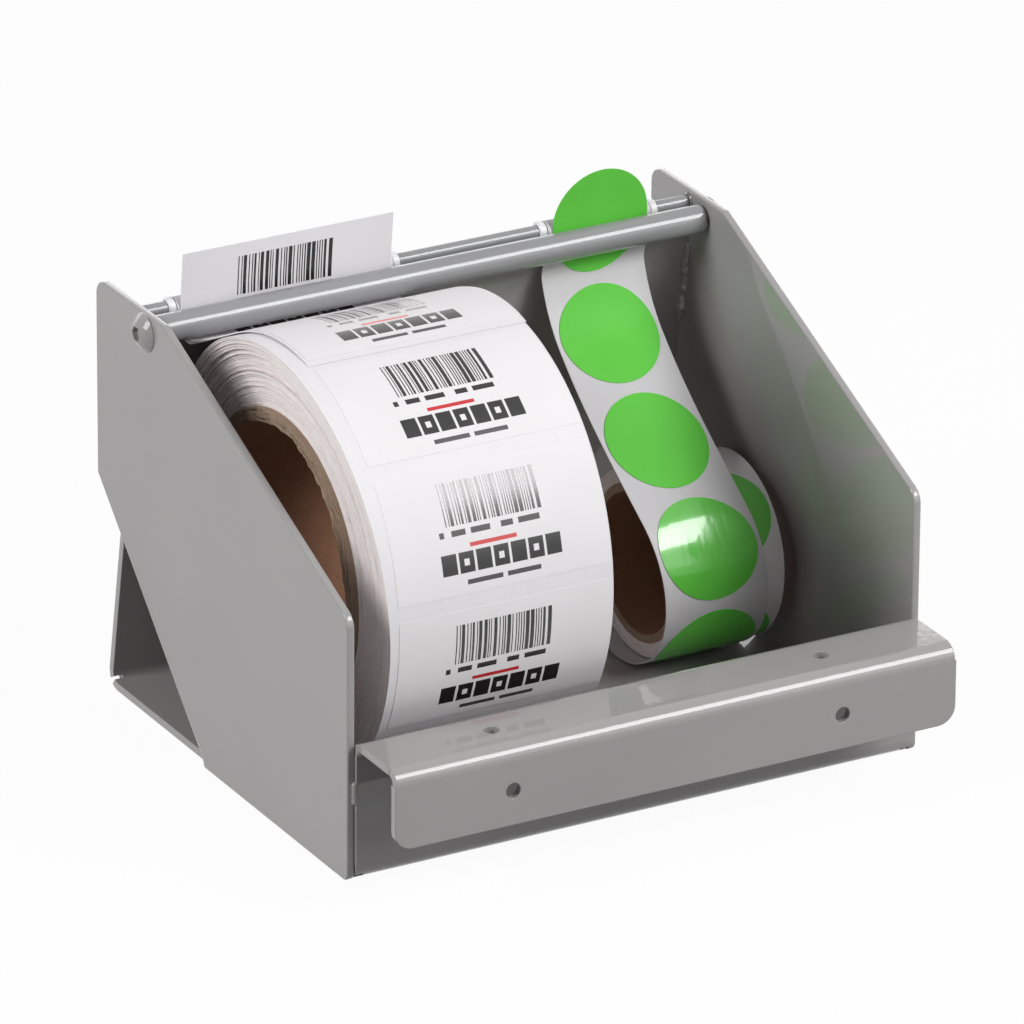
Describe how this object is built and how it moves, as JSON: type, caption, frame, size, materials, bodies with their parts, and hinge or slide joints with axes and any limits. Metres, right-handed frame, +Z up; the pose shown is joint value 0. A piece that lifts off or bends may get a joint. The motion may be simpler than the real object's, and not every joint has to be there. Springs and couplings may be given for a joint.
{
  "type": "label dispenser",
  "caption": "Desk label dispenser: folded steel tray between side panels, with a guide bar, a peel rod with sliding rings, and loose label rolls whose webs run over the rod.",
  "frame": {"origin": "on the desk, under the middle of the overall box", "axes": "+X along the bars, to the right seen from the front; +Y to the back; +Z up"},
  "size_m": [0.1794, 0.1656, 0.133],
  "materials": {
    "grey_paint": "satin",
    "ring_plastic": "matt",
    "core_card": "raw",
    "liner_paper": "glazed",
    "label_paper": "satin",
    "green_label": "gloss"
  },
  "bodies": {
    "frame": {"left_side_panel": "grey_paint", "right_side_panel": "grey_paint", "folded_tray": "grey_paint", "back_seam_welds": "grey_paint", "front_seam_welds": "grey_paint", "guide_bar": "grey_paint", "guide_bar_screws": "grey_paint", "peel_rod": "grey_paint", "peel_rod_welds": "grey_paint", "wide_liner_web": "liner_paper", "wide_peeled_label": "label_paper", "narrow_liner_web": "liner_paper", "narrow_dot_1": "green_label", "narrow_dot_2": "green_label", "narrow_dot_3": "green_label", "narrow_dot_4": "green_label", "narrow_dot_5": "green_label"},
    "wide_roll": {"wide_roll_core": "core_card", "wide_roll_winding": "liner_paper", "wide_roll_outer_wraps": "liner_paper", "wide_roll_labels": "label_paper"},
    "narrow_roll": {"narrow_roll_core": "core_card", "narrow_roll_winding": "liner_paper", "narrow_roll_dots": "green_label"},
    "ring_1": {"guide_ring_1": "ring_plastic"},
    "ring_2": {"guide_ring_2": "ring_plastic"},
    "ring_3": {"guide_ring_3": "ring_plastic"},
    "ring_4": {"guide_ring_4": "ring_plastic"}
  },
  "joints": [
    {"name": "wide_roll_turn", "type": "hinge", "parent": "frame", "child": "wide_roll", "pos_m": [0, 0.00644, 0.0635], "axis": [1, 0, 0], "continuous": true},
    {"name": "narrow_roll_turn", "type": "hinge", "parent": "frame", "child": "narrow_roll", "pos_m": [0, 0.02525, 0.03], "axis": [1, 0, 0], "continuous": true},
    {"name": "ring_1_slide", "type": "slide", "parent": "frame", "child": "ring_1", "axis": [1, 0, 0], "range_m": [-0.007, 0]},
    {"name": "ring_2_slide", "type": "slide", "parent": "frame", "child": "ring_2", "axis": [1, 0, 0], "range_m": [0, 0.0215]},
    {"name": "ring_3_slide", "type": "slide", "parent": "frame", "child": "ring_3", "axis": [1, 0, 0], "range_m": [-0.0215, 0]},
    {"name": "ring_4_slide", "type": "slide", "parent": "frame", "child": "ring_4", "axis": [1, 0, 0], "range_m": [0, 0.01]}
  ]
}
